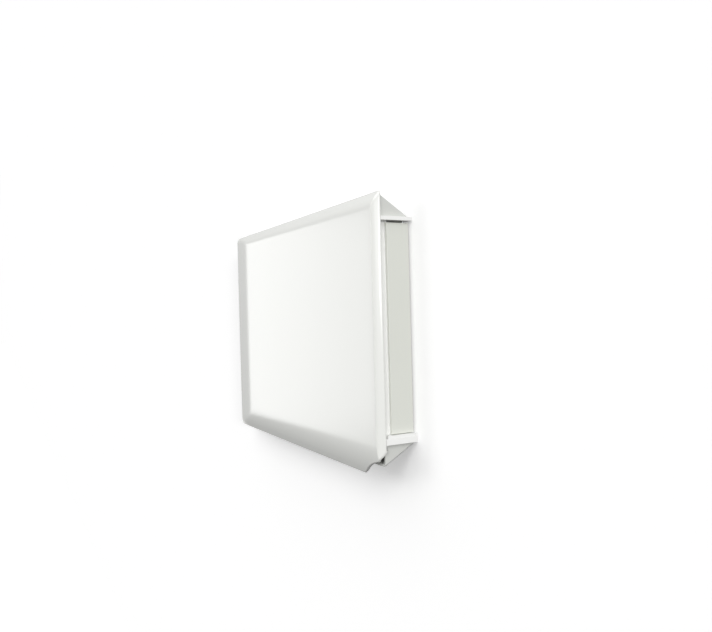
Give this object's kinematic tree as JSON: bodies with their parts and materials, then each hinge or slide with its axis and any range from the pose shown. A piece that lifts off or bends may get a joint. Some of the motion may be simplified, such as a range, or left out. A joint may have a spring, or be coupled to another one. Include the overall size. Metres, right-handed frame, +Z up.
{
  "type": "wall-mounted gate antenna unit",
  "caption": "Flat wall-mounted antenna and reader unit of a shop's security gate, with lift-off front cover, tapered tray, hinged side service door and ports behind it.",
  "frame": {"origin": "middle of the wall face, on the back of the wall bracket, midway between its four bolt holes", "axes": "+X along the wall towards the service door, +Y into the wall, +Z up; the front faces -Y"},
  "size_m": [0.47, 0.0472, 0.3],
  "materials": {
    "cover_plastic": "gloss moulded white",
    "tray_plastic": "fine spark texture, off-white",
    "frame_plastic": "gloss moulded white",
    "door_plastic": "satin light grey",
    "rubber": "matte",
    "bracket_steel": "zinc plated",
    "screw_steel": "zinc plated",
    "magnet_nickel": "nickel plated",
    "reflector_aluminium": "mill finish",
    "port_aluminium": "brushed and anodised",
    "spacer_nylon": "natural nylon",
    "board_laminate": "green solder mask",
    "tinned_steel": "tin plated",
    "gold_brass": "gold plated",
    "black_plastic": "moulded black",
    "capacitor_sleeve": "shrink sleeve",
    "choke_ferrite": "sintered ferrite",
    "lead_jacket": "satin jacket",
    "reset_plastic": "moulded red",
    "lens_plastic": "clear light pipe"
  },
  "bodies": {
    "housing": {"rear_tray": "tray_plastic", "end_frame": "frame_plastic", "door_sill": "frame_plastic", "cover_seal": "rubber", "stud_grips": "rubber", "entry_grommet": "rubber", "wall_bracket": "bracket_steel", "frame_screws": "screw_steel", "retaining_screws": "screw_steel", "plate_screws": "screw_steel", "patch_screws": "screw_steel", "board_screws": "screw_steel", "port_screws": "screw_steel", "hinge_pins": "screw_steel", "door_magnets": "magnet_nickel", "ground_plate": "reflector_aluminium", "patch_left": "reflector_aluminium", "patch_right": "reflector_aluminium", "port_plate": "port_aluminium", "patch_spacers": "spacer_nylon", "feed_board": "board_laminate", "reader_board": "board_laminate", "shield_can": "tinned_steel", "ethernet_socket": "tinned_steel", "feed_tongues": "gold_brass", "coax_plug": "gold_brass", "antenna_ports": "gold_brass", "reader_chips": "black_plastic", "dc_socket": "black_plastic", "rocker_housing": "black_plastic", "reset_switch": "black_plastic", "sounder": "black_plastic", "board_headers": "black_plastic", "capacitors": "capacitor_sleeve", "choke": "choke_ferrite", "antenna_coax": "lead_jacket", "ethernet_lead": "lead_jacket", "power_lead": "lead_jacket", "sounder_lead": "lead_jacket", "status_lenses": "lens_plastic"},
    "cover": {"front_cover": "cover_plastic", "cover_studs": "cover_plastic"},
    "door": {"side_door": "door_plastic", "door_strikes": "screw_steel"},
    "rocker": {"power_rocker": "black_plastic"},
    "reset": {"reset_button": "reset_plastic"}
  },
  "joints": [
    {"name": "cover_release", "type": "slide", "parent": "housing", "child": "cover", "axis": [0, -1, 0], "range_m": [0, 0.06]},
    {"name": "door_hinge", "type": "hinge", "parent": "housing", "child": "door", "pos_m": [0.227, -0.0065, 0.00725], "axis": [0, 0, 1], "range_deg": [0, 90]},
    {"name": "rocker_tilt", "type": "hinge", "parent": "housing", "child": "rocker", "pos_m": [0.1985, -0.01445, -0.00939], "axis": [0, 1, 0], "range_deg": [0, 16]},
    {"name": "reset_press", "type": "slide", "parent": "housing", "child": "reset", "axis": [-1, 0, 0], "range_m": [0, 0.0008], "stiffness_N_per_m": 400}
  ]
}
